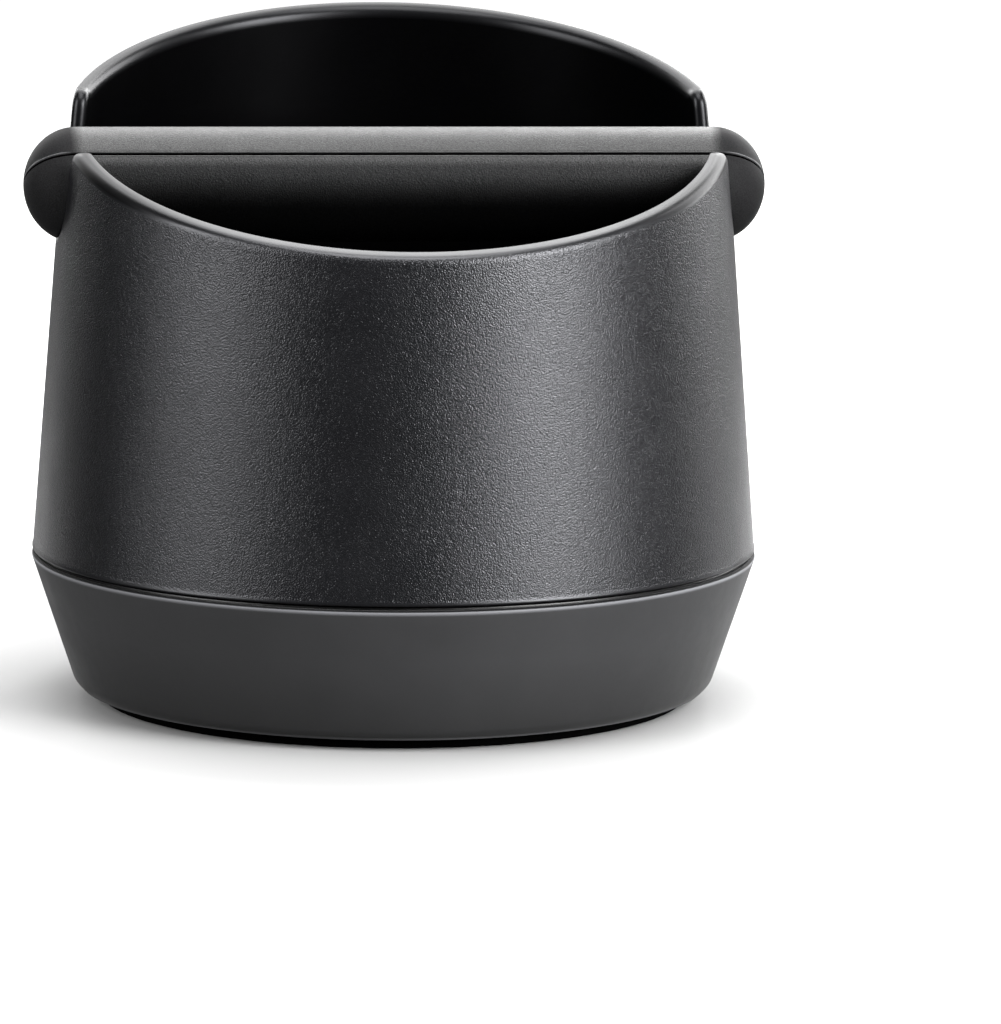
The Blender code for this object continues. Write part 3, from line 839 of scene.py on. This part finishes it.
def boot_elastomer():
    """Soft-touch elastomer: matt, with a faint bloom and handling marks."""
    made, tree, shader, where = start("boot_elastomer")
    fine = noise(tree, where, 5200.0, 2.0, 0.6)
    bumped(tree, shader, fine, 0.000008)
    cloud = noise(tree, where, 30.0, 4.0, 0.6)
    shade = from_noise(tree, cloud, 0.92, 1.08)
    height = add(tree, "ShaderNodeSeparateXYZ", Vector=where).outputs["Z"]
    # Painted shade: the side darkens towards the floor.
    low_shade = ranged(tree, height, BOOT_SHADE_LOW_Z, BOOT_SHADE_HIGH_Z, BOOT_LOW_SHADE, 1.0)
    shade = sums(tree, "MULTIPLY", shade, low_shade)
    # Painted highlights: thin lighter lines along the boot's top and bottom edges.
    low_edge = ranged(tree, height, BOOT_BOTTOM_Z + 0.0007, BOOT_BOTTOM_Z + 0.0009, 1.0, 0.0)
    top_edge = ranged(tree, height, BOOT_TOP_Z - 0.0011, BOOT_TOP_Z - 0.0007, 0.0, 1.0)
    painted_edge_highlight = sums(tree, "MAXIMUM", low_edge, top_edge)
    shade = sums(tree, "MULTIPLY", shade, ranged(tree, painted_edge_highlight, 0.0, 1.0, 1.0, BOOT_EDGE_HIGHLIGHT))
    # Painted shade: the ledge in the shadow gap under the shell is made dark and dull.
    in_gap = ranged(tree, height, BOOT_TOP_Z - 0.0004, BOOT_TOP_Z - 0.00025, 1.0, BOOT_GAP_SHADE)
    shade = sums(tree, "MULTIPLY", shade, in_gap)
    plug(tree, shader.inputs["Specular IOR Level"], sums(tree, "MULTIPLY", in_gap, 0.5))
    plug(tree, shader.inputs["Base Color"], tinted(tree, BOOT_GREY, shade))
    marks = noise(tree, where, 120.0, 4.0, 0.7)
    plug(tree, shader.inputs["Roughness"], from_noise(tree, marks, 0.6, 0.72))
    shader.inputs["Sheen Weight"].default_value = 0.08
    shader.inputs["Sheen Roughness"].default_value = 0.5
    return made


def bar_rubber():
    """Rubber: grained and scuffed on top of the span, painted down to deep black under it as painted shade,
    and smoother on the ball ends.
    """
    made, tree, shader, where = start("bar_rubber")
    place = add(tree, "ShaderNodeSeparateXYZ", Vector=where)
    reach = sums(tree, "ABSOLUTE", place.outputs["X"])
    span = ranged(tree, reach, BALL_START - 0.0012, BALL_START + 0.0012, 1.0, 0.0)
    # Painted shade: on the span, the colour is darker below the top and falls towards deep black underneath.
    upper = ranged(tree, place.outputs["Z"], BAR_Z + 0.0045, BAR_Z + 0.006, 0.45, 1.0)
    lower = ranged(tree, place.outputs["Z"], BAR_Z - 0.0035, BAR_Z + 0.003, 0.0, 1.0)
    top = sums(tree, "MULTIPLY", upper, lower)
    groove = add(tree, "ShaderNodeAttribute", {"attribute_name": "seam_shade_and_glint"}).outputs["Fac"]
    grain = noise(tree, where, 3400.0, 2.0, 0.7)
    bumped(tree, shader, sums(tree, "MULTIPLY", grain, ranged(tree, span, 0.0, 1.0, 0.1, 1.0)), 0.00009)
    speck = ranged(tree, noise(tree, where, 4200.0, 2.0, 0.8), 0.35, 0.65, 0.0, 1.0)
    cloud = varied(tree, where, 0.85, 1.15, 70.0, 3.0)
    tone = sums(tree, "MULTIPLY", sums(tree, "ADD", 0.6, sums(tree, "MULTIPLY", speck, 0.8)), cloud)
    under = mixed(tree, "FLOAT", span, 1.0, ranged(tree, top, 0.0, 1.0, 0.3, 1.0))
    tone = sums(tree, "MULTIPLY", tone, under)
    color = mixed(tree, "RGBA", span, BAR_BALL_BLACK, BAR_SPAN_BLACK)
    # The seam's attribute paints the groove black, as painted shade, and the flash lighter, as a painted
    # highlight.
    open_color = tinted(tree, color, sums(tree, "MULTIPLY", tone, sums(tree, "SUBTRACT", 1.0, groove)))
    plug(tree, shader.inputs["Base Color"], open_color)
    rough = varied(tree, where, 0.36, 0.44, 200.0, 4.0, 0.7)
    plug(tree, shader.inputs["Roughness"], mixed(tree, "FLOAT", span, 0.6, rough))
    speck_shine = ranged(tree, speck, 0.0, 1.0, 0.3, 0.72)
    # Painted shade: the span's shine fades the same way, to almost none underneath.
    grained = sums(tree, "MULTIPLY", speck_shine, ranged(tree, top, 0.0, 1.0, 0.04, 1.0))
    shine = mixed(tree, "FLOAT", span, 0.06, grained)
    facing = add(tree, "ShaderNodeLayerWeight", Blend=0.5).outputs["Facing"]
    outline = mixed(tree, "FLOAT", span, 0.6, ranged(tree, facing, 0.62, 0.82, 1.0, 1.8))
    shine = sums(tree, "MULTIPLY", sums(tree, "MULTIPLY", shine, outline), from_front(tree))
    # The same attribute raises the shine on the flash, as a painted highlight, and lowers it in the groove,
    # as painted shade.
    open_shine = sums(tree, "MULTIPLY", shine, sums(tree, "SUBTRACT", 1.0, groove))
    plug(tree, shader.inputs["Specular IOR Level"], open_shine)
    return made


def foot_rubber():
    """Matt black rubber, painted darker still, as painted shade under the boot."""
    made, tree, shader, where = start("foot_rubber")
    bumped(tree, shader, noise(tree, where, 2400.0, 3.0, 0.7), 0.00003)
    shade = varied(tree, where, 0.7, 1.3, 90.0, 4.0)
    plug(tree, shader.inputs["Base Color"], tinted(tree, FOOT_BLACK_AND_PAINTED_SHADE, shade))
    shader.inputs["Specular IOR Level"].default_value = 0.02
    plug(tree, shader.inputs["Roughness"], varied(tree, where, 0.75, 0.9, 300.0))
    return made


def cup_plastic():
    """Smooth black plastic with faint swirl marks from rinsing."""
    made, tree, shader, where = start("cup_plastic")
    marks = noise(tree, where, 260.0, 5.0, 0.7)
    bumped(tree, shader, marks, 0.000006)
    shade = varied(tree, where, 0.8, 1.2, 45.0, 3.0)
    plug(tree, shader.inputs["Base Color"], tinted(tree, CUP_BLACK, shade))
    plug(tree, shader.inputs["Roughness"], from_noise(tree, marks, 0.3, 0.42))
    return made


def seal_silicone():
    """Grey silicone of the seal, which the cup and the shell hide."""
    made, tree, shader, where = start("seal_silicone")
    bumped(tree, shader, noise(tree, where, 900.0, 2.0), 0.00001)
    shade = varied(tree, where, 0.9, 1.1, 60.0, 3.0)
    plug(tree, shader.inputs["Base Color"], tinted(tree, SEAL_GREY, shade))
    plug(tree, shader.inputs["Roughness"], varied(tree, where, 0.4, 0.55, 400.0))
    return made


def core_steel():
    """Drawn stainless tube, with lines along its length."""
    made, tree, shader, where = start("core_steel")
    stretched = add(tree, "ShaderNodeMapping", Vector=where, Scale=(12.0, 1400.0, 1400.0)).outputs[0]
    lines = noise(tree, stretched, 1.0, 4.0, 0.6)
    bumped(tree, shader, lines, 0.00002)
    shade = from_noise(tree, lines, 0.85, 1.1)
    plug(tree, shader.inputs["Base Color"], tinted(tree, STEEL, shade))
    plug(tree, shader.inputs["Roughness"], from_noise(tree, lines, 0.22, 0.4))
    shader.inputs["Metallic"].default_value = 1.0
    return made


def plug_nylon():
    """Natural nylon of the tube's plugs, which the rubber hides."""
    made, tree, shader, where = start("plug_nylon")
    bumped(tree, shader, noise(tree, where, 800.0, 3.0), 0.00002)
    shade = varied(tree, where, 0.92, 1.05, 120.0, 3.0)
    plug(tree, shader.inputs["Base Color"], tinted(tree, NYLON_WHITE, shade))
    plug(tree, shader.inputs["Roughness"], varied(tree, where, 0.42, 0.55, 300.0))
    return made


def floor_paint():
    """Pale studio floor, a little glossy. The object sees it darker than the camera does, and not glowing."""
    made, tree, shader, where = start("floor_paint")
    seen = add(tree, "ShaderNodeLightPath").outputs["Is Camera Ray"]
    shade = varied(tree, where, 0.99, 1.0, 3.0, 2.0)
    tone = sums(tree, "MULTIPLY", shade, ranged(tree, seen, 0.0, 1.0, FLOOR_BOUNCE, FLOOR_TONE))
    plug(tree, shader.inputs["Base Color"], tinted(tree, (1, 1, 1), tone))
    shader.inputs["Roughness"].default_value = 0.25
    shader.inputs["Emission Color"].default_value = (1, 1, 1, 1)
    away = add(tree, "ShaderNodeVectorMath", {"operation": "LENGTH"})
    plug(tree, away.inputs[0], where)
    # The glow is weaker near the base, which paints a soft shadow round it on the floor.
    near = ranged(tree, away.outputs["Value"], 0.056, 0.095, 0.0, FLOOR_GLOW_NEAR)
    far = ranged(tree, away.outputs["Value"], 0.09, 0.3, 0.0, FLOOR_GLOW_FAR - FLOOR_GLOW_NEAR)
    glow = sums(tree, "ADD", near, far)
    plug(tree, shader.inputs["Emission Strength"], sums(tree, "MULTIPLY", glow, seen))
    return made


# Stage, lights and camera


def studio_floor():
    """The floor that the object stands on."""
    mesh = bpy.data.meshes.new("studio_floor")
    half = FLOOR_SIZE / 2
    corners = [(-half, -half, 0), (half, -half, 0), (half, half, 0), (-half, half, 0)]
    mesh.from_pydata(corners, [], [(0, 1, 2, 3)])
    floor = bpy.data.objects.new("studio_floor", mesh)
    bpy.context.scene.collection.objects.link(floor)
    mesh.materials.append(floor_paint())


def soft_light(name, azimuth, elevation, distance, width, height, power):
    """An area light that faces the object's middle. Azimuth 0 is the front (-Y), and 90 is +X."""
    data = bpy.data.lights.new(name, "AREA")
    data.shape = "RECTANGLE"
    data.size = width
    data.size_y = height
    data.energy = power
    light = bpy.data.objects.new(name, data)
    bpy.context.scene.collection.objects.link(light)
    a, e = math.radians(azimuth), math.radians(elevation)
    away = Vector((math.sin(a) * math.cos(e), -math.cos(a) * math.cos(e), math.sin(e)))
    light.location = LIGHT_TARGET + away * distance
    light.rotation_mode = "QUATERNION"
    light.rotation_quaternion = away.to_track_quat("Z", "Y")
    light.visible_camera = False


def world():
    """White behind the object and dark in front of it, as the object sees it. The camera sees only white."""
    made = bpy.data.worlds.new("studio")
    bpy.context.scene.world = made
    made.use_nodes = True
    tree = made.node_tree
    background = tree.nodes["Background"]
    incoming = add(tree, "ShaderNodeNewGeometry").outputs["Incoming"]
    back = add(tree, "ShaderNodeSeparateXYZ", Vector=incoming)
    glow = ranged(tree, back.outputs["Y"], -0.45, -0.75, 0.0, WORLD_GLOW)
    seen = add(tree, "ShaderNodeLightPath").outputs["Is Camera Ray"]
    plug(tree, background.inputs["Strength"], sums(tree, "MAXIMUM", glow, seen))


def camera():
    """The viewing angle: a long lens a little left of the front, looking down, with a slight roll."""
    angles = (CAMERA_AZIMUTH, CAMERA_PAN, CAMERA_PITCH, CAMERA_ROLL)
    azimuth, pan, pitch, roll = (math.radians(value) for value in angles)
    data = bpy.data.cameras.new("camera")
    data.lens = CAMERA_LENS
    data.sensor_width = 36.0
    data.clip_start = 0.05
    data.clip_end = 100.0
    eye = bpy.data.objects.new("camera", data)
    bpy.context.scene.collection.objects.link(eye)
    bpy.context.scene.camera = eye
    turn = azimuth + pan
    ahead = Vector((-math.sin(turn) * math.cos(pitch), math.cos(turn) * math.cos(pitch), -math.sin(pitch)))
    right = ahead.cross(Vector((0, 0, 1))).normalized()
    up = right.cross(ahead)
    rolled_right = right * math.cos(roll) + up * math.sin(roll)
    rolled_up = up * math.cos(roll) - right * math.sin(roll)
    place = Matrix((rolled_right, rolled_up, -ahead)).transposed().to_4x4()
    across, back = math.sin(azimuth) * CAMERA_DISTANCE, -math.cos(azimuth) * CAMERA_DISTANCE
    place.translation = Vector((across, back, CAMERA_HEIGHT))
    eye.matrix_world = place


# The object

body_shell(shell_plastic())
base_boot(boot_elastomer())
foot_ring(foot_rubber())
base_cup(cup_plastic())
bar_sleeve(bar_rubber())

for node, surface in (
    ("joint_seal", seal_silicone()),
    ("bar_core", core_steel()),
    ("bar_end_plug_left", plug_nylon()),
    ("bar_end_plug_right", plug_nylon()),
):
    obj = frame["nodes"][node]
    obj.data.materials.clear()
    obj.data.materials.append(surface)

studio_floor()
for name, values in LIGHTS.items():
    soft_light(name, *values)
world()
camera()
bpy.context.scene.view_settings.view_transform = "Standard"
